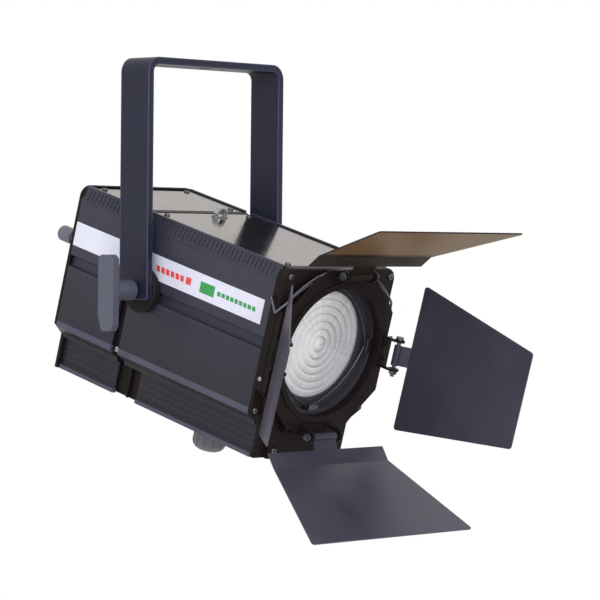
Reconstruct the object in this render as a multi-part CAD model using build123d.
from build123d import *
import math
import os

# Fresnel spotlight on a hanging yoke, with a four-leaf barndoor.
# Row frame: origin at the bolt hole in the middle of the yoke's top bar, +Z up, beam towards -Y, X across.
# The lamp head is drawn level, about its own tilt pivot, and then set nose-down by HEAD_TILT.
# All sizes are millimetres.

# --- driving dimensions -------------------------------------------------------------------------
HEAD_TILT = 15.8        # nose-down angle of the head at rest, degrees

YOKE_RISE = 227.6       # from the tilt pivot up to the top face of the yoke bar
YOKE_WIDTH = 191.0      # outside width of the yoke
STRAP_WIDTH = 38.7
STRAP_THICK = 7.0
YOKE_BEND = 15.0        # outside radius of the two top bends
YOKE_TAIL = 9.5         # how far the legs reach below the pivot
HOOK_HOLE = 6.5         # radius of the hook clamp's bolt hole
PIN_HOLE = 3.2          # radius of the two steady-pin holes beside it
PIN_SPACING = 50.0

HALF_WIDTH = 78.5       # half width of the head at its side faces
CREST_HALF = 73.0       # half width at the top edges
CREST_Z = 74.5
RIDGE_Z = 59.5          # foot of the slotted chamfer
GROOVE_TOP = 3.5
LEDGE_Z = -9.0
CREASE_Z = -66.0        # lower edge of the ribbed side face
SKIRT_HALF = 62.0
SKIRT_TOP = -85.0
BASE_Z = -116.5         # underside of the head
WALL = 3.0

REAR_Y = 117.0          # back face of the head
REAR_CAP = 4.0
REAR_SECTION = (31.0, 113.0)
FRONT_SECTION = (-166.0, 20.0)
REAR_COVER = (31.0, 112.5)
FRONT_COVER = (-165.5, 20.0)
SKIRT_CUT_Y = -2.0      # the front skirt stops short of the front section's rear edge
FRONT_Y = -176.0        # front face of the front cap
FLANGE_Y = -170.0       # front face of the cap's flange

LENS_Z = -4.5           # height of the optical axis
LENS_R = 60.0
LENS_FRONT_Y = -170.5
LENS_THICK = 14.0

BARN_Z = -7.5           # axis of the barndoor, which sits low in its runners
PLATE_Y = -180.0        # front face of the barndoor's carrier plate
PLATE_THICK = 1.8
PLATE_HALF = 75.7       # half width of the eight-sided carrier plate
PLATE_CORNER = 39.5     # where the corners of both eight-sided plates are cut
RING_Y = -185.0         # front face of the turning plate
RING_THICK = 2.0
RING_HALF = 76.5        # its half width
COLLAR_R = 66.5
BEAM_HOLE_R = 64.4
PIN_Y = -198.0          # plane of the four hinge pins
PIN_OFFSET = 80.3       # their distance from the barndoor's axis
LEAF_START = (10.6, 7.9)    # a leaf's hinge edge from its pin, forwards and outwards, with the leaf shut
LEAF_THICK = 1.4
LEAF_BEND = 22.3        # bend of the large leaves' hinge strip, degrees
OPEN_TOP = 29.3         # each leaf's angle out from the beam at rest, degrees
OPEN_BOTTOM = 22.3
OPEN_RIGHT = 4.8
OPEN_LEFT = 44.6

FOCUS_TRAVEL = 35.0     # the lamp carriage moves this far each way
KNOB_Y = -53.0
GLAND_X = -63.0         # the supply cord's gland in the rear cap
GLAND_Z = 16.5
STUD_R = 5.0
FIT = 0.05              # radial clearance of every running fit
GAP = 0.3               # end clearance between parts that turn on each other

HEAD = Location((0, 0, -YOKE_RISE), (HEAD_TILT, 0, 0))
PIVOT = Location((0, 0, -YOKE_RISE))


# --- helpers ------------------------------------------------------------------------------------
def block(x0, x1, y0, y1, z0, z1):
    """Box between two corners."""
    centre = ((x0 + x1) / 2, (y0 + y1) / 2, (z0 + z1) / 2)
    return Pos(*centre) * Box(abs(x1 - x0), abs(y1 - y0), abs(z1 - z0))


def rod_x(r, x0, x1, y=0.0, z=0.0):
    """Round bar along X; rod_y and rod_z are the same along their own axes."""
    return Pos((x0 + x1) / 2, y, z) * Rot(0, 90, 0) * Cylinder(r, abs(x1 - x0))


def rod_y(r, y0, y1, x=0.0, z=0.0):
    return Pos(x, (y0 + y1) / 2, z) * Rot(90, 0, 0) * Cylinder(r, abs(y1 - y0))


def rod_z(r, z0, z1, x=0.0, y=0.0):
    return Pos(x, y, (z0 + z1) / 2) * Cylinder(r, abs(z1 - z0))


def prism_y(points, y0, y1):
    """Solid of a closed XZ outline between two Y planes."""
    face = make_face(Polyline(*[(x, z) for x, z in points], close=True))
    return extrude(Plane.XZ.offset(-y1) * face, amount=y1 - y0)


def plate_y(sketch, y0, y1):
    """Solid of an XZ sketch between two Y planes."""
    return extrude(Plane.XZ.offset(-y1) * sketch, amount=y1 - y0)


def both_sides(points):
    """Closed outline symmetric about X = 0 from its right half, listed top to bottom."""
    return points + [(-x, z) for x, z in reversed(points)]


def group(parts):
    """Several separate solids in one node."""
    solids = [s for p in parts for s in p.solids()]
    return Compound(children=solids)


def on_side(shape, side):
    """The shape as drawn for +X, or its mirror image for -X."""
    return shape if side > 0 else mirror(shape, about=Plane.YZ)


# --- yoke ---------------------------------------------------------------------------------------
def yoke():
    half = YOKE_WIDTH / 2
    strap = block(-half, half, -STRAP_WIDTH / 2, STRAP_WIDTH / 2, -YOKE_TAIL, YOKE_RISE)
    inner_half = half - STRAP_THICK
    hollow = block(-inner_half, inner_half, -STRAP_WIDTH, STRAP_WIDTH, -2 * YOKE_TAIL,
                   YOKE_RISE - STRAP_THICK)
    y_edges = strap.edges().filter_by(Axis.Y).group_by(Axis.Z)[-1]
    strap = fillet(y_edges, YOKE_BEND)
    inner_edges = hollow.edges().filter_by(Axis.Y).group_by(Axis.Z)[-1]
    hollow = fillet(inner_edges, YOKE_BEND - STRAP_THICK)
    body = strap - hollow
    tail_edges = body.edges().filter_by(Axis.X).group_by(Axis.Z)[0]
    body = fillet(tail_edges, 3.0)
    body -= rod_x(STUD_R + FIT, -half - 1, half + 1)
    body -= rod_z(HOOK_HOLE, YOKE_RISE - 20, YOKE_RISE + 1)
    for x in (-PIN_SPACING / 2, PIN_SPACING / 2):
        body -= rod_z(PIN_HOLE, YOKE_RISE - 20, YOKE_RISE + 1, x=x)
    return body


# --- tilt pivots ----------------------------------------------------------------------------------
PLATE_IN = 67.0         # inner face of the pivot backing plates
STUD_TIP = 126.0
DISC_R = 22.0


def pivot_stud(side):
    """Stud fixed to the backing plate; the near one is long, for the locking lever's hub."""
    tip = STUD_TIP if side < 0 else YOKE_WIDTH / 2 + 13
    stud = rod_x(STUD_R, PLATE_IN - 5, tip)
    head = rod_x(9.0, PLATE_IN - 6, PLATE_IN)
    return on_side(stud + head, side)


def friction_disc(side):
    disc = rod_x(DISC_R, HALF_WIDTH + 0.6, YOKE_WIDTH / 2 - STRAP_THICK - GAP)
    disc = chamfer(disc.edges().filter_by(GeomType.CIRCLE), 1.2)
    return on_side(disc - rod_x(STUD_R + FIT, 60, 100), side)


def backing_plate(side):
    """Steel plate inside one side extrusion, which the pivot stud is fixed to."""
    inner, outer = PLATE_IN * side, (PLATE_IN + 4.0) * side
    plate = block(inner, outer, -30, 16, -20, 20)
    return plate - rod_x(STUD_R + FIT, inner - 10 * side, outer + 10 * side)


def far_nut():
    """Domed lock nut with a washer on the +X side."""
    face = YOKE_WIDTH / 2 + GAP
    washer = rod_x(12.0, face, face + 2.0)
    flats = Pos(face + 6.5, 0, 0) * Rot(0, 90, 0) * extrude(RegularPolygon(10.0, 6), amount=4.5, both=True)
    dome = Pos(face + 11.0, 0, 0) * Sphere(7.5)
    dome = dome & block(face + 10.5, face + 30, -10, 10, -10, 10)
    return washer + flats + dome - rod_x(STUD_R + FIT, face - 1, YOKE_WIDTH / 2 + 13.5)


LEVER_HUB_R = 10.0
LEVER_ARM = (124.5, 132.5)      # distance of the handle's two faces from the centre plane
LEVER_UP = 34.5
LEVER_DOWN = 39.5


def lever():
    """Moulded wing handle with its hub, on the -X side."""
    face = YOKE_WIDTH / 2 + GAP
    hub = rod_x(LEVER_HUB_R, face, LEVER_ARM[0] + 1)
    hub = chamfer(hub.edges().filter_by(GeomType.CIRCLE).group_by(Axis.X)[0], 3.0)
    half = 10.5
    outline = make_face(Polyline((-half, -LEVER_DOWN + 6), (-half + 3, -LEVER_DOWN), (half - 5, -LEVER_DOWN),
                                 (half, -LEVER_DOWN + 14), (half, LEVER_UP - 4), (half - 4, LEVER_UP),
                                 (-half + 4, LEVER_UP), (-half, LEVER_UP - 4), close=True))
    blade = extrude(Plane.YZ.offset(LEVER_ARM[0]) * outline, amount=LEVER_ARM[1] - LEVER_ARM[0])
    blade = fillet(blade.edges().filter_by(Axis.X), 2.0)
    body = hub + blade
    body -= rod_x(STUD_R + FIT, face - 1, STUD_TIP + 1)
    return on_side(body, -1)


# --- housing shells -------------------------------------------------------------------------------
RIB_PITCH = 7.8
RIB_DEPTH = 0.4
SLOT_PITCH = 5.6        # cooling slots in the chamfer
SLOT_WIDTH = 1.2
LEDGE_IN = 63.0         # inner edge of the ledge that carries the top covers
COVER_Z = 71.5          # underside of the covers, just below the crests


def grooves(half, z_start, count, pitch):
    """Shallow V grooves across a vertical face, going down."""
    points = []
    for i in range(count):
        z = z_start - pitch * (i + 1)
        points += [(half, z + RIB_DEPTH), (half - RIB_DEPTH, z), (half, z - RIB_DEPTH)]
    return points


def side_outline():
    """Closed cross-section of one side extrusion, drawn for +X."""
    proud = HALF_WIDTH + 0.5
    outer = [(70.0, CREST_Z), (CREST_HALF, CREST_Z), (proud, RIDGE_Z + 0.5), (proud, RIDGE_Z - 1),
             (HALF_WIDTH, RIDGE_Z - 1.5), (HALF_WIDTH, GROOVE_TOP), (HALF_WIDTH - 4, GROOVE_TOP - 2),
             (HALF_WIDTH - 4, LEDGE_Z + 2), (proud, LEDGE_Z + 0.5), (proud, LEDGE_Z - 1.5),
             (HALF_WIDTH, LEDGE_Z - 2)]
    outer += grooves(HALF_WIDTH, LEDGE_Z - 1, 6, RIB_PITCH)
    outer += [(HALF_WIDTH, CREASE_Z), (proud, CREASE_Z - 0.5), (proud, CREASE_Z - 6),
              (67.0, -80.0), (66.0, -83.5), (SKIRT_HALF, SKIRT_TOP)]
    outer += grooves(SKIRT_HALF, SKIRT_TOP - 1, 3, 6.2)
    outer += [(SKIRT_HALF, BASE_Z + 4.5), (SKIRT_HALF + 2, BASE_Z + 4), (SKIRT_HALF + 2, BASE_Z)]
    inner = [(SKIRT_HALF - WALL, BASE_Z), (SKIRT_HALF - WALL, SKIRT_TOP + 1), (64.0, -79.0),
             (HALF_WIDTH - 3.5, CREASE_Z - 5), (HALF_WIDTH - 3.5, LEDGE_Z - 3), (HALF_WIDTH - 7.5, LEDGE_Z),
             (HALF_WIDTH - 7.5, GROOVE_TOP + 1), (HALF_WIDTH - 3.5, GROOVE_TOP + 4),
             (HALF_WIDTH - 3.5, RIDGE_Z - 1.5), (73.5, COVER_Z - 2.5), (LEDGE_IN, COVER_Z - 2.5),
             (LEDGE_IN, COVER_Z), (70.0, COVER_Z)]
    return outer + inner


def vent_slots(y0, y1):
    """Row of narrow slots through the chamfer, drawn for +X."""
    run = math.hypot(HALF_WIDTH - CREST_HALF, CREST_Z - RIDGE_Z)
    lean = math.degrees(math.atan2(HALF_WIDTH - CREST_HALF, CREST_Z - RIDGE_Z))
    mid = ((HALF_WIDTH + CREST_HALF) / 2, (CREST_Z + RIDGE_Z) / 2)
    count = int((y1 - y0 - 8) / SLOT_PITCH)
    start = (y0 + y1) / 2 - SLOT_PITCH * (count - 1) / 2
    slots = []
    for i in range(count):
        slot = Box(7.0, SLOT_WIDTH, run - 4.5)
        slots.append(Pos(mid[0], start + i * SLOT_PITCH, mid[1]) * Rot(0, -lean, 0) * slot)
    return slots


def side_panel(side, section):
    y0, y1 = section
    body = prism_y(side_outline(), y0, y1)
    body -= vent_slots(y0, y1)
    if section == FRONT_SECTION:
        body -= block(40, 70, SKIRT_CUT_Y, y1 + 1, BASE_Z - 1, SKIRT_TOP + 0.5)
        body -= rod_x(STUD_R + FIT, 60, 90)
    return on_side(body, side)


def centre_frame():
    """Dark cast frame inside the joint of the two sections, seen in the gap and behind the front skirt."""
    outer = both_sides([(62.0, 62.0), (71.5, 56.0), (71.5, 10.0), (66.5, 6.0), (66.5, -12.0), (71.5, -14.0),
                        (71.5, -68.0), (58.0, -80.0), (58.0, -112.0)])
    inner = both_sides([(58.0, 58.0), (66.5, 54.0), (66.5, 12.0), (64.0, 9.0), (64.0, -14.0), (66.5, -17.0),
                        (66.5, -65.0), (54.0, -76.0), (54.0, -106.0)])
    ring = prism_y(outer, 17.0, 34.0) - prism_y(inner, 16.0, 35.0)
    gap_outer = both_sides([(69.0, 71.0), (74.5, 58.0), (74.5, -73.0), (63.5, -80.5), (58.5, -84.0),
                            (58.5, BASE_Z + 1)])
    gap_ring = prism_y(gap_outer, REAR_SECTION[0] - 10.5, REAR_SECTION[0] - 0.5)
    gap_ring -= prism_y(inner, 16.0, 35.0)
    skirt_box = block(-58.5, 58.5, SKIRT_CUT_Y + 0.5, 20.5, BASE_Z + 1, SKIRT_TOP - 1)
    skirt_box -= block(-55, 55, -10, 25, BASE_Z + 4.5, SKIRT_TOP)
    flange = block(-61.5, 61.5, 12.0, 14.0, BASE_Z + 1, SKIRT_TOP)
    flange -= block(-55, 55, 10, 16, BASE_Z + 4.5, SKIRT_TOP + 1)
    return ring + gap_ring + skirt_box + flange


def top_cover(y0, y1):
    """Bent sheet cover lying on the ledges inside the two crests."""
    sheet = block(-66, 66, y0, y1, COVER_Z, COVER_Z + 1.5)
    for x in (-58, 58):
        for y in (y0 + 8, y1 - 8):
            sheet -= rod_z(1.7, COVER_Z - 1, COVER_Z + 3, x=x, y=y)
    return fillet(sheet.edges().filter_by(Axis.Z), 2.0)


def crossbar():
    """Black bar across the top, between the two covers."""
    return block(-68.5, 68.5, REAR_SECTION[0] - 8.0, REAR_SECTION[0] - 0.5, 71.0, 73.0)


def safety_eye():
    """Saddle loop for the safety cable, riveted to the rear end of the front cover."""
    x0, y0, z0 = 14.0, 10.0, COVER_Z + 1.5
    base = block(x0 - 9.5, x0 + 9.5, y0 - 4, y0 + 4, z0, z0 + 1.2)
    base = fillet(base.edges().filter_by(Axis.Z), 2.5)
    arch = plate_y(Circle(7.0) - Circle(5.0), y0 - 3.0, y0 + 3.0)
    arch = Pos(x0, 0, z0 + 2.6) * arch
    arch = arch & block(x0 - 8, x0 + 8, y0 - 4, y0 + 4, z0 + 2.6, z0 + 11)
    legs = [block(x, x + 2.0, y0 - 3.0, y0 + 3.0, z0 + 1.0, z0 + 2.8) for x in (x0 - 7, x0 + 5)]
    eye = base + arch + legs[0] + legs[1]
    for x in (x0 - 8.2, x0 + 8.2):
        eye += rod_z(1.0, z0 + 1, z0 + 1.9, x=x, y=y0)
    return eye


def bottom_plate(y0, y1, slotted):
    half = SKIRT_HALF - WALL - 0.3
    plate = block(-half, half, y0, y1, BASE_Z + 1.0, BASE_Z + 3.0)
    if slotted:
        reach = FOCUS_TRAVEL + 4.5
        plate -= block(-4.5, 4.5, KNOB_Y - reach, KNOB_Y + reach, BASE_Z, BASE_Z + 5)
        for x in (-30, 30):
            for i in range(5):
                plate -= block(x - 12, x + 12, -140 + i * 9, -136 + i * 9, BASE_Z, BASE_Z + 5)
    else:
        for i in range(6):
            plate -= block(-30, 30, 48 + i * 9, 52 + i * 9, BASE_Z, BASE_Z + 5)
    return plate


def cap_outline(inset):
    """Outline shared by the two end caps, with the lower corners stepped in like the skirts."""
    wide = HALF_WIDTH - inset
    narrow = SKIRT_HALF + 4 - inset
    points = both_sides([(wide, CREST_Z - inset), (wide, -70.0 - inset / 2), (narrow, -81.0 - inset / 2),
                         (narrow, BASE_Z + inset)])
    face = make_face(Polyline(*points, close=True))
    top = face.vertices().group_by(Axis.Y)[-1]
    return fillet(top, 11.0 - inset)


def rear_cap():
    body = plate_y(cap_outline(0.0), REAR_SECTION[1], REAR_Y)
    for i in range(8):
        z = 52 - i * 7
        body -= block(-30, 50, REAR_SECTION[1] - 1, REAR_Y + 1, z - 1.5, z + 1.5)
    body -= rod_y(8.05, REAR_SECTION[1] - 1, REAR_Y + 1, x=GLAND_X, z=GLAND_Z)
    return body



def cable_gland():
    """Nylon gland with its lock nut inside; the supply cord leaves here."""
    body = rod_y(8.0, REAR_SECTION[1] - 6, REAR_Y, x=GLAND_X, z=GLAND_Z)
    body += rod_y(6.4, REAR_Y, REAR_Y + 14, x=GLAND_X, z=GLAND_Z)
    hexagon = Pos(GLAND_X, REAR_Y, GLAND_Z) * Rot(-90, 0, 0) * extrude(RegularPolygon(10.5, 6), amount=6)
    cap = rod_y(8.0, REAR_Y + 11, REAR_Y + 31, x=GLAND_X, z=GLAND_Z)
    cap = fillet(cap.faces().sort_by(Axis.Y)[-1].edges(), 3.5)
    return body + hexagon + cap - rod_y(3.75, REAR_Y - 20, REAR_Y + 40, x=GLAND_X, z=GLAND_Z)


def gland_nut():
    hexagon = extrude(RegularPolygon(11.5, 6), amount=4)
    nut = Pos(GLAND_X, REAR_SECTION[1] - 4.2, GLAND_Z) * Rot(-90, 0, 0) * hexagon
    return nut - rod_y(8.05, 80, 130, x=GLAND_X, z=GLAND_Z)


def front_cap():
    """Smooth cast bezel: a flange over the extrusions' ends, and a front cut away low at each side."""
    proud = HALF_WIDTH + 0.5
    top = CREST_Z - 0.5
    flange = [(proud, top), (proud, CREASE_Z - 6), (67.0, -80.0), (SKIRT_HALF, -86.0), (SKIRT_HALF, BASE_Z)]
    front = [(proud, top), (proud, RUNNER_Z[0]), (70.0, -54.0), (66.0, -72.0), (48.0, -84.0), (48.0, BASE_Z)]
    levels = []
    for outline in (flange, front):
        face = make_face(Polyline(*both_sides(outline), close=True))
        levels.append(fillet(face.vertices().group_by(Axis.Y)[-1], 12.0))
    raised = plate_y(levels[1], FRONT_Y, FLANGE_Y)
    raised = chamfer(raised.faces().sort_by(Axis.Y)[0].outer_wire().edges(), 1.2)
    body = plate_y(levels[0], FLANGE_Y, FRONT_SECTION[0]) + raised
    body -= rod_y(BARREL_R, FRONT_Y - 1, FRONT_SECTION[0] + 1, z=LENS_Z)
    for x in (-proud, proud):
        body -= rod_x(WIRE_R + FIT, x - 9, x + 9, y=WIRE_HOLE[0], z=WIRE_HOLE[1])
    return body


# --- lens ---------------------------------------------------------------------------------------
BARREL_R = 68.0
BARREL = (FRONT_Y - 1.0, -150.0)    # front and rear faces of the barrel
MOUTH_R = 64.4                      # bore in front of the lip
LIP_R = 53.8                        # opening of the lip that the lens rests on
LIP = (-167.4, -165.7)              # front and rear faces of the lip


def lens_barrel():
    """Black ring in the front cap; the lens sits against its inner lip."""
    tube = rod_y(BARREL_R - FIT, *BARREL, z=LENS_Z)
    tube -= rod_y(MOUTH_R, BARREL[0] - 1, LIP[0], z=LENS_Z)
    tube -= rod_y(LIP_R, BARREL[0], BARREL[1] + 1, z=LENS_Z)
    tube -= rod_y(LENS_R + 0.2, LIP[1], BARREL[1] + 1, z=LENS_Z)
    return tube


LENS_RINGS = 7
LENS_STEP = 7.6         # width of one ring
LENS_BACK = 3.0         # flat back of the lens, in its own depth scale
LENS_RIM = 9.0          # root of every ring
LENS_CROWN = 4.0        # rise of the central dome above the root
LENS_TOOTH = 2.4        # rise of each ring's steep inner edge


def fresnel_lens():
    """Stepped front face over a flat back, as a turned profile of (radius, depth) points."""
    profile = [(0.0, LENS_RIM + LENS_CROWN), (LENS_STEP, LENS_RIM)]
    for i in range(1, LENS_RINGS):
        profile += [(i * LENS_STEP, LENS_RIM + LENS_TOOTH), ((i + 1) * LENS_STEP, LENS_RIM)]
    profile += [(LENS_R, LENS_RIM), (LENS_R, LENS_BACK), (0.0, LENS_BACK)]
    body = revolve(make_face(Polyline(*profile, close=True)), Axis.Y, 360)
    return Pos(0, LENS_FRONT_Y + LENS_THICK, LENS_Z) * Rot(180, 0, 0) * body


SPRING_Y = -171.0       # plane of the square wire spring in the barrel's mouth
SPRING_R = 0.8
SPRING_REACH = (61.8, 54.8)     # its distance from the axis at the tabs and between them
TAB_R = 63.9                    # back of the tabs, just clear of the bore


def lens_clips():
    """Four clips behind the lens, and in front a wire spring held by four hooked tabs."""
    lens_back = LENS_FRONT_Y + LENS_THICK - LENS_BACK
    barrel_back = BARREL[1]
    clips = []
    for k in range(4):
        arm = block(-5, 5, barrel_back, barrel_back + 1.0, 50.0, 66.0)
        arm += block(-5, 5, lens_back + 0.1, barrel_back + 1.0, 50.0, 53.0)
        clips.append(Pos(0, 0, LENS_Z) * Rot(0, 45 + 90 * k, 0) * arm)
    far, near = SPRING_REACH
    diagonal = near / math.sqrt(2)
    wire = ThreePointArc((far, SPRING_Y, 0), (diagonal, SPRING_Y, diagonal), (0, SPRING_Y, far))
    section = Plane(origin=wire @ 0, z_dir=wire % 0) * Circle(SPRING_R)
    quarter = sweep(section, path=wire)
    hook_y = BARREL[0] - 0.6
    quarter += block(-6.5, 6.5, hook_y, LIP[0], 62.7, TAB_R)
    quarter += block(-6.5, 6.5, hook_y, hook_y + 1.2, 58.5, TAB_R)
    quarter += block(-6.5, 6.5, SPRING_Y - 1.2, SPRING_Y + 1.2, 60.8, 63.0)
    spring = quarter
    for k in (1, 2, 3):
        spring += Rot(0, 90 * k, 0) * quarter
    return group(clips + [Pos(0, 0, LENS_Z) * spring])


# --- accessory holder ---------------------------------------------------------------------------
RUNNER = (70.5, 78.5)
RUNNER_Z = (-47.0, 33.0)
RUNNER_FRONT = -182.0
CHANNEL = (PLATE_Y - 0.5, PLATE_Y + PLATE_THICK + 0.5)  # the slot that the carrier plate slides in
FOOT_Z = (-88.7, -79.7)     # the bottom runner's two edges


def side_runner(side):
    """Channel that the barndoor's carrier plate slides down."""
    rail = block(*RUNNER, RUNNER_FRONT, FRONT_Y, *RUNNER_Z)
    rail -= block(RUNNER[0] - 1, 76.0, *CHANNEL, RUNNER_Z[0] - 1, RUNNER_Z[1] + 1)
    return on_side(rail, side)


def bottom_runner():
    rail = block(-38, 38, RUNNER_FRONT, FRONT_Y, *FOOT_Z)
    rail -= block(-39, 39, *CHANNEL, BARN_Z - PLATE_HALF - 0.5, FOOT_Z[1] + 1)
    return rail


WIRE_R = 1.1
WIRE_Y = -181.5         # plane of the wire's two arcs, between the carrier plate and the turning plate
WIRE_END = (75.0, 41.5)     # where the arcs meet on each side
WIRE_HOLE = (-168.0, 44.0)  # the hole in each side of the bezel that takes the wire's end
WIRE_TOPS = (75.0, 71.0)    # height of the two arcs in the middle


def retaining_spring():
    """Doubled spring wire over the top of the carrier plate, hooked into a hole in each side of the bezel."""
    side_x = HALF_WIDTH + 4.0
    end_x, end_z = WIRE_END
    lines = []
    for top in WIRE_TOPS:
        lines.append(ThreePointArc((end_x, WIRE_Y, end_z), (0, WIRE_Y, top), (-end_x, WIRE_Y, end_z)))
    for side in (-1, 1):
        points = [(HALF_WIDTH - 4, *WIRE_HOLE), (side_x, *WIRE_HOLE), (side_x, -176.5, 31),
                  (end_x, WIRE_Y, end_z)]
        for start, end in zip(points, points[1:]):
            lines.append(Line((start[0] * side, *start[1:]), (end[0] * side, *end[1:])))
    body = None
    for line in lines:
        section = Plane(origin=line @ 0, z_dir=line % 0) * Circle(WIRE_R)
        piece = sweep(section, path=line) + Pos(*(line @ 0)) * Sphere(WIRE_R)
        body = piece if body is None else body + piece
        body += Pos(*(line @ 1)) * Sphere(WIRE_R)
    return body


# --- barndoor -----------------------------------------------------------------------------------
def eight_sided(half):
    """Outline of a square plate with its corners cut, about the barndoor's axis."""
    cut = PLATE_CORNER
    return both_sides([(cut, half), (half, cut), (half, -cut), (cut, -half)])


def carrier_plate():
    """Flat plate in the runners, with the collar that the turning plate is held on."""
    plate = Pos(0, 0, BARN_Z) * prism_y(eight_sided(PLATE_HALF), PLATE_Y, PLATE_Y + PLATE_THICK)
    collar = rod_y(COLLAR_R, RING_Y - 1.4, PLATE_Y + PLATE_THICK, z=BARN_Z)
    body = plate + collar - rod_y(BEAM_HOLE_R, RING_Y - 5, PLATE_Y + 5, z=BARN_Z)
    return body


def snap_ring():
    """Holds the turning plate on the collar."""
    ring = rod_y(COLLAR_R + 3.5, RING_Y - 1.3, RING_Y - GAP, z=BARN_Z)
    return ring - rod_y(COLLAR_R + 0.02, RING_Y - 5, RING_Y + 5, z=BARN_Z)


def turning_ring():
    """Eight-sided plate that carries the four leaves, with a flat tab under each hinge bracket."""
    ring = make_face(Polyline(*eight_sided(RING_HALF), close=True))
    ring = fillet(ring.vertices(), 3.0)
    for angle, width in ((0, 27.0), (90, 62.0), (180, 27.0), (270, 62.0)):
        tab = Pos(72.0, 0) * Rectangle(22.0, width)
        tab = fillet(tab.vertices().group_by(Axis.X)[-1], 4.0)
        ring += Rot(0, 0, angle) * tab
    ring -= Circle(COLLAR_R + FIT)
    return plate_y(Pos(0, BARN_Z) * ring, RING_Y, RING_Y + RING_THICK)


def hinge_turn(angle):
    """Turns a hinge drawn at the top of the barndoor to its own side; angle 90 is the +X side."""
    return Location((0, 0, BARN_Z)) * Location((0, 0, 0), (0, angle, 0))


EARS_LARGE = 38.0
EARS_SMALL = 27.0
EAR_THICK = 2.0


def hinge_bracket(span, angle):
    """U bracket with two ears, drawn at the top of the barndoor, about the barndoor's axis."""
    half = span / 2
    foot = block(-half - EAR_THICK, half + EAR_THICK, RING_Y - 1.5, RING_Y, 71.0, 82.5)
    ears = []
    for x in (-half - EAR_THICK, half):
        ear = block(x, x + EAR_THICK, PIN_Y, RING_Y, PIN_OFFSET - 7, PIN_OFFSET - 3)
        ear += rod_x(5.5, x, x + EAR_THICK, y=PIN_Y, z=PIN_OFFSET)
        ears.append(ear)
    body = foot + ears[0] + ears[1]
    body -= rod_x(2.0, -half - 10, half + 10, y=PIN_Y, z=PIN_OFFSET)
    for x in (-half + 6, half - 6):
        body += Pos(x, RING_Y - 1.5, 76.5) * Rot(90, 0, 0) * Cylinder(2.6, 2.4)
    return hinge_turn(angle) * body


def hinge_pin(span, angle):
    """Pin with a screw head at one end, and a nut and free thread at the other."""
    half = span / 2 + EAR_THICK
    pin = rod_x(2.0, -half - 2, half + 6, y=PIN_Y, z=PIN_OFFSET)
    head = rod_x(3.8, -half - 3, -half, y=PIN_Y, z=PIN_OFFSET)
    nut = Pos(half, PIN_Y, PIN_OFFSET) * Rot(0, 90, 0) * extrude(RegularPolygon(4.0, 6), amount=3.4)
    return hinge_turn(angle) * (pin + head + nut)


def trapezoid(start, direction, length, width0, width1, inner_corner=0, outer_corner=0):
    """Sheet from a hinge-side edge to an outer edge. start and direction are (forward, outward) pairs."""
    f, o = direction
    shape = make_face(Polyline((-width0 / 2, 0), (width0 / 2, 0), (width1 / 2, length),
                               (-width1 / 2, length), close=True))
    if inner_corner:
        shape = fillet(shape.vertices().group_by(Axis.Y)[0], inner_corner)
    if outer_corner:
        shape = fillet(shape.vertices().group_by(Axis.Y)[-1], outer_corner)
    normal = (0, -o, -f)
    frame = Plane(origin=(0, PIN_Y - start[0], PIN_OFFSET + start[1]), x_dir=(1, 0, 0), z_dir=normal)
    sheet = extrude(frame * shape, amount=LEAF_THICK / 2, both=True)
    return sheet


def leaf(span, widths, lengths, bend, angle, opening):
    """Leaf drawn with its panel straight forwards, then swung outwards about its pin."""
    tab_width = span - 7.0
    knuckle = rod_x(3.8, -tab_width / 2, tab_width / 2, y=PIN_Y, z=PIN_OFFSET)
    reach = math.hypot(*LEAF_START)
    lean = (LEAF_START[0] / reach, LEAF_START[1] / reach)
    tab = trapezoid((2.5 * lean[0], 2.5 * lean[1]), lean, reach - 2.3, tab_width, tab_width)
    body = knuckle + tab
    strip, panel = lengths
    if bend:
        lean = (math.cos(math.radians(bend)), math.sin(math.radians(bend)))
        body += trapezoid(LEAF_START, lean, strip, widths[0], widths[0])
        kink = (LEAF_START[0] + strip * lean[0], LEAF_START[1] + strip * lean[1])
        body += trapezoid((kink[0] - 0.1, kink[1]), (1.0, 0.0), panel, *widths, outer_corner=2.5)
    else:
        body += trapezoid(LEAF_START, (1.0, 0.0), panel, *widths, inner_corner=3.0, outer_corner=3.5)
    body -= rod_x(2.0 + FIT, -tab_width, tab_width, y=PIN_Y, z=PIN_OFFSET)
    pin = Location((0, PIN_Y, PIN_OFFSET))
    body = (pin * Location((0, 0, 0), (-opening, 0, 0)) * pin.inverse()) * body
    return hinge_turn(angle) * body


TOP_LEAF = dict(span=EARS_LARGE, widths=(159.9, 207.2), lengths=(15.8, 98.2), bend=LEAF_BEND)
BOTTOM_LEAF = dict(span=EARS_LARGE, widths=(162.6, 229.0), lengths=(15.8, 102.6), bend=LEAF_BEND)
SIDE_LEAF = dict(span=EARS_SMALL, widths=(147.4, 95.8), lengths=(0.0, 137.2), bend=0)


# --- focus carriage -----------------------------------------------------------------------------
CARRIAGE_Y = -72.0      # front face of the carriage plate at rest
ROD_Z = -20.0
ROD_X = 56.0
ROD_R = 4.0
FRONT_BULKHEAD = (-147.0, -144.0)
REAR_BULKHEAD = (56.0, 58.0)
BULKHEAD_OUTLINE = [(62.0, 60.0), (74.9, 56.0), (74.9, 10.0), (70.5, 6.0), (70.5, -12.0), (74.9, -14.0),
                    (74.9, -66.0), (58.0, -80.0), (58.0, -105.0)]


def guide_rods():
    span = (FRONT_BULKHEAD[0], REAR_BULKHEAD[0])
    return group([rod_y(ROD_R, *span, x=x, z=ROD_Z) for x in (-ROD_X, ROD_X)])


def rear_bulkhead():
    """Sheet bulkhead that carries the rods' rear ends and keeps the driver apart from the lamp."""
    plate = prism_y(both_sides(BULKHEAD_OUTLINE), *REAR_BULKHEAD)
    return plate - block(-30, 30, 50, 60, -30, 40)


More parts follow.
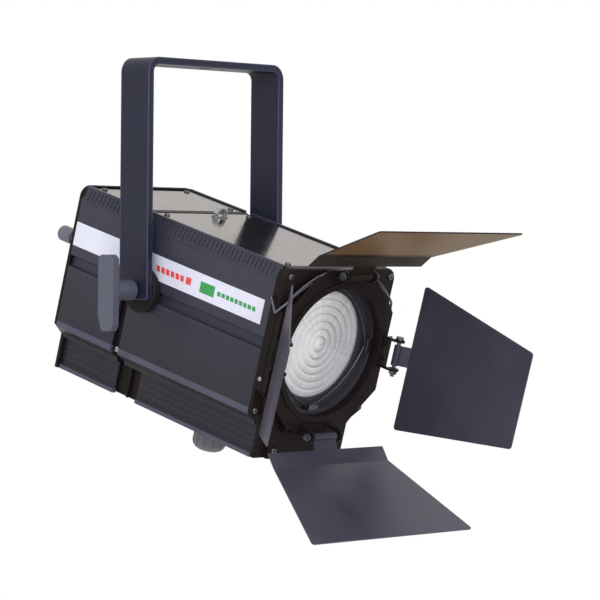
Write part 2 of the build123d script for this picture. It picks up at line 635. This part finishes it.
def front_bulkhead():
    """Sheet behind the lens, with the light opening and the rods' front seats."""
    plate = prism_y(both_sides(BULKHEAD_OUTLINE), *FRONT_BULKHEAD)
    plate -= rod_y(50.0, -150, -140, z=LENS_Z)
    for x in (-ROD_X, ROD_X):
        plate -= rod_y(ROD_R + FIT, -150, -140, x=x, z=ROD_Z)
    return plate


def carriage_plate():
    """Folded plate riding on the rods, with a foot that reaches the focus slot."""
    y0, y1 = CARRIAGE_Y, CARRIAGE_Y + 3.0
    plate = block(-66, 66, y0, y1, -62, 50)
    foot = block(-20, 20, y0, y1, -108, -60)
    shelf = block(-20, 20, y0, KNOB_Y + 12, -108, -105)
    body = plate + foot + shelf
    for x in (-ROD_X, ROD_X):
        body -= rod_y(7.0 + 0.02, y0 - 1, y1 + 1, x=x, z=ROD_Z)
    body -= rod_z(4.02, -110, -100, y=KNOB_Y)
    return body


def rod_bushes():
    bushes = []
    for x in (-ROD_X, ROD_X):
        b = rod_y(7.0, CARRIAGE_Y - 6, CARRIAGE_Y + 14, x=x, z=ROD_Z)
        b += rod_y(9.0, CARRIAGE_Y + 3.0, CARRIAGE_Y + 5.0, x=x, z=ROD_Z)
        bushes.append(b - rod_y(ROD_R + FIT, -200, 100, x=x, z=ROD_Z))
    return group(bushes)


FINS = 13
FIN_THICK = 2.2


def heatsink():
    """Extruded block whose upright fins point back towards the fan."""
    base_y = CARRIAGE_Y + 3.0
    body = block(-45, 45, base_y, base_y + 8, LENS_Z - 45, LENS_Z + 45)
    for i in range(FINS):
        x = -45 + i * (90 - FIN_THICK) / (FINS - 1)
        body += block(x, x + FIN_THICK, base_y + 8, base_y + 45, LENS_Z - 45, LENS_Z + 45)
    return body


def led_module():
    """Chip-on-board emitter on its copper base, with a domed phosphor window."""
    base = block(-16, 16, CARRIAGE_Y - 2.0, CARRIAGE_Y, LENS_Z - 16, LENS_Z + 16)
    return base + rod_y(10.0, CARRIAGE_Y - 2.8, CARRIAGE_Y - 2.0, z=LENS_Z)


def condenser():
    """Small collimating lens in its holder, in front of the emitter."""
    y0 = CARRIAGE_Y - 2.0
    holder = rod_y(24.0, y0 - 16, CARRIAGE_Y, z=LENS_Z) - rod_y(21.0, y0 - 17, CARRIAGE_Y + 1, z=LENS_Z)
    holder -= block(-17, 17, y0 - 0.5, CARRIAGE_Y + 1, LENS_Z - 25, LENS_Z + 25)
    return holder


def condenser_lens():
    y0 = CARRIAGE_Y - 4.0
    dome = Pos(0, y0 - 6.0, LENS_Z) * Sphere(20.8)
    dome &= block(-22, 22, y0 - 26.0, y0 - 6.0, LENS_Z - 22, LENS_Z + 22)
    return dome


FAN_Y = CARRIAGE_Y + 3.0 + 45.0
FAN_DEPTH = 20.0
FAN_HALF = 40.0         # half side of the fan's square frame
FAN_BORE_R = 37.0
FAN_SPINDLE_R = 2.0
FAN_HUB_R = 16.0
FAN_BLADES = 7


def fan_frame():
    """Square duct with a motor plate on four thin arms at the back."""
    back = FAN_Y + FAN_DEPTH - 4.0
    end = FAN_Y + FAN_DEPTH
    frame = block(-FAN_HALF, FAN_HALF, FAN_Y, end, LENS_Z - FAN_HALF, LENS_Z + FAN_HALF)
    frame -= rod_y(FAN_BORE_R, FAN_Y - 1, end + 1, z=LENS_Z)
    arms = rod_y(FAN_HUB_R + 1, back, end, z=LENS_Z)
    arms += block(-FAN_BORE_R - 1, FAN_BORE_R + 1, back, end, LENS_Z - 2, LENS_Z + 2)
    arms += block(-2, 2, back, end, LENS_Z - FAN_BORE_R - 1, LENS_Z + FAN_BORE_R + 1)
    return frame + arms + rod_y(FAN_SPINDLE_R, FAN_Y + 3, back + 1, z=LENS_Z)


def fan_rotor():
    hub = rod_y(FAN_HUB_R, FAN_Y + 2, FAN_Y + FAN_DEPTH - 4.5, z=LENS_Z)
    for i in range(FAN_BLADES):
        blade = Pos(25, FAN_Y + 8.5, 0) * Rot(35, 0, 0) * Box(20, 1.4, 13)
        hub += Pos(0, 0, LENS_Z) * Rot(0, i * 360 / FAN_BLADES, 0) * blade
    return hub - rod_y(FAN_SPINDLE_R + FIT, FAN_Y - 5, FAN_Y + FAN_DEPTH + 10, z=LENS_Z)


def focus_stem():
    """Screw from the carriage's shelf down through the slot to the knob."""
    return rod_z(4.0, -140.0, -101.0, y=KNOB_Y) + rod_z(7.0, -105.0, -101.0, y=KNOB_Y) - \
        rod_z(1.0, -142, -139, y=KNOB_Y)


def focus_knob():
    """Fluted clamping knob under the head, with a narrow neck."""
    neck = rod_z(11.0, -134.0, BASE_Z + 1.0 - GAP - 0.2, y=KNOB_Y)
    grip = rod_z(17.0, -150.5, -130.0, y=KNOB_Y)
    grip = fillet(grip.faces().sort_by(Axis.Z)[0].edges(), 9.0)
    grip = fillet(grip.faces().sort_by(Axis.Z)[-1].edges(), 2.5)
    for i in range(12):
        angle = math.radians(i * 30)
        grip -= rod_z(2.2, -160, -120, x=18.0 * math.cos(angle), y=KNOB_Y + 18.0 * math.sin(angle))
    return neck + grip - rod_z(4.0 + FIT, -140.3, -100, y=KNOB_Y)


# --- electronics --------------------------------------------------------------------------------
def led_driver():
    case = block(-25, 55, 64.0, 104.0, -60, 46)
    case = fillet(case.edges().filter_by(Axis.Y), 2.0)
    for i in range(9):
        case -= block(-10, 40, 63, 65, 30 - i * 9, 33 - i * 9)
    return case


def terminal_block():
    body = block(-58, -34, 78.0, 96.0, -40, -20)
    for i in range(3):
        body -= rod_z(2.5, -26, -19, x=-53 + i * 7, y=87)
    return body


def terminal_bracket():
    return block(-60, -26.0, 76.0, 98.0, -42.0, -40.0) + block(-62, -60, 76.0, 98.0, -42.0, -10.0)


# --- label strips and fasteners -----------------------------------------------------------------
def label_strips():
    """Plain white strips on the flat band of each side extrusion."""
    strips = []
    for side in (-1, 1):
        for y0, y1 in ((REAR_SECTION[0] + 1.5, 112.5), (FRONT_SECTION[0] + 8.5, FRONT_SECTION[1] - 2.0)):
            strips.append(on_side(block(HALF_WIDTH, HALF_WIDTH + 0.5, y0, y1, 13.6, 37.8), side))
    return group(strips)


def pan_screw_y(x, y, z, facing):
    """Pan head on a face whose normal is +Y or -Y."""
    return rod_y(3.2, y, y + 2.0 * facing, x=x, z=z)


def cap_screws():
    screws = []
    for x, z in ((-70, 64), (70, 64), (-70, -60), (70, -60), (-52, -104), (52, -104)):
        screws.append(pan_screw_y(x, REAR_Y, z, 1))
    for x, y, z in ((71, FRONT_Y, 66), (74, FLANGE_Y, -68), (42, FRONT_Y, -108)):
        screws.append(pan_screw_y(x, y, z, -1))
        screws.append(pan_screw_y(-x, y, z, -1))
    return group(screws)


def side_screws():
    """One on each side of the bezel, and one low in each side of the gap."""
    screws = []
    for side in (-1, 1):
        screws.append(on_side(rod_x(2.4, HALF_WIDTH + 0.5, HALF_WIDTH + 2.3, y=-173.0, z=-35.5), side))
        screws.append(on_side(rod_x(3.0, 74.5, 76.3, y=25.5, z=-69.0), side))
    return group(screws)


def cover_screws():
    screws = []
    for y0, y1 in (REAR_COVER, FRONT_COVER):
        for x in (-58, 58):
            for y in (y0 + 8, y1 - 8):
                head = rod_z(3.0, COVER_Z + 1.5, COVER_Z + 3.2, x=x, y=y)
                screws.append(head + rod_z(1.6, COVER_Z + 0.2, COVER_Z + 2, x=x, y=y))
    return group(screws)


# --- build, place and export --------------------------------------------------------------------
HINGES = {"right": (90, SIDE_LEAF, OPEN_RIGHT), "bottom": (180, BOTTOM_LEAF, OPEN_BOTTOM),
          "left": (270, SIDE_LEAF, OPEN_LEFT), "top": (0, TOP_LEAF, OPEN_TOP)}


def model():
    """Every node with the location that carries its design frame into the row frame."""
    parts = {"yoke": (yoke(), PIVOT), "tilt_lever": (lever(), PIVOT)}
    for name, side in (("left", -1), ("right", 1)):
        parts["pivot_stud_" + name] = (pivot_stud(side), HEAD)
        parts["friction_disc_" + name] = (friction_disc(side), HEAD)
        parts["rear_side_panel_" + name] = (side_panel(side, REAR_SECTION), HEAD)
        parts["front_side_panel_" + name] = (side_panel(side, FRONT_SECTION), HEAD)
        parts["runner_" + name] = (side_runner(side), HEAD)
        parts["backing_plate_" + name] = (backing_plate(side), HEAD)
    head_parts = {
        "pivot_nut": far_nut, "centre_frame": centre_frame, "crossbar": crossbar, "safety_eye": safety_eye,
        "rear_cap": rear_cap, "front_cap": front_cap, "cable_gland": cable_gland, "gland_nut": gland_nut,
        "lens_barrel": lens_barrel, "fresnel_lens": fresnel_lens, "lens_clips": lens_clips,
        "runner_bottom": bottom_runner, "retaining_spring": retaining_spring, "carrier_plate": carrier_plate,
        "snap_ring": snap_ring, "turning_ring": turning_ring, "guide_rods": guide_rods,
        "rear_bulkhead": rear_bulkhead, "front_bulkhead": front_bulkhead, "carriage_plate": carriage_plate,
        "rod_bushes": rod_bushes, "heatsink": heatsink, "led_module": led_module,
        "condenser_holder": condenser, "condenser_lens": condenser_lens, "fan_frame": fan_frame,
        "fan_rotor": fan_rotor,
        "focus_stem": focus_stem, "focus_knob": focus_knob, "led_driver": led_driver,
        "terminal_block": terminal_block, "terminal_bracket": terminal_bracket, "label_strips": label_strips,
        "cap_screws": cap_screws, "side_screws": side_screws, "cover_screws": cover_screws}
    for name, make in head_parts.items():
        parts[name] = (make(), HEAD)
    parts["rear_top_cover"] = (top_cover(*REAR_COVER), HEAD)
    parts["front_top_cover"] = (top_cover(*FRONT_COVER), HEAD)
    parts["rear_bottom_plate"] = (bottom_plate(REAR_SECTION[0], REAR_SECTION[1], False), HEAD)
    parts["front_bottom_plate"] = (bottom_plate(FRONT_SECTION[0], SKIRT_CUT_Y, True), HEAD)
    brackets = [hinge_bracket(kind["span"], angle) for angle, kind, opening in HINGES.values()]
    pins = [hinge_pin(kind["span"], angle) for angle, kind, opening in HINGES.values()]
    parts["hinge_brackets"] = (group(brackets), HEAD)
    parts["hinge_pins"] = (group(pins), HEAD)
    for name, (angle, kind, opening) in HINGES.items():
        parts["leaf_" + name] = (leaf(angle=angle, opening=opening, **kind), HEAD)
    return parts


os.makedirs("parts", exist_ok=True)
for node, (shape, place) in model().items():
    export_step(place * shape, "parts/" + node + ".step")
    print(node)
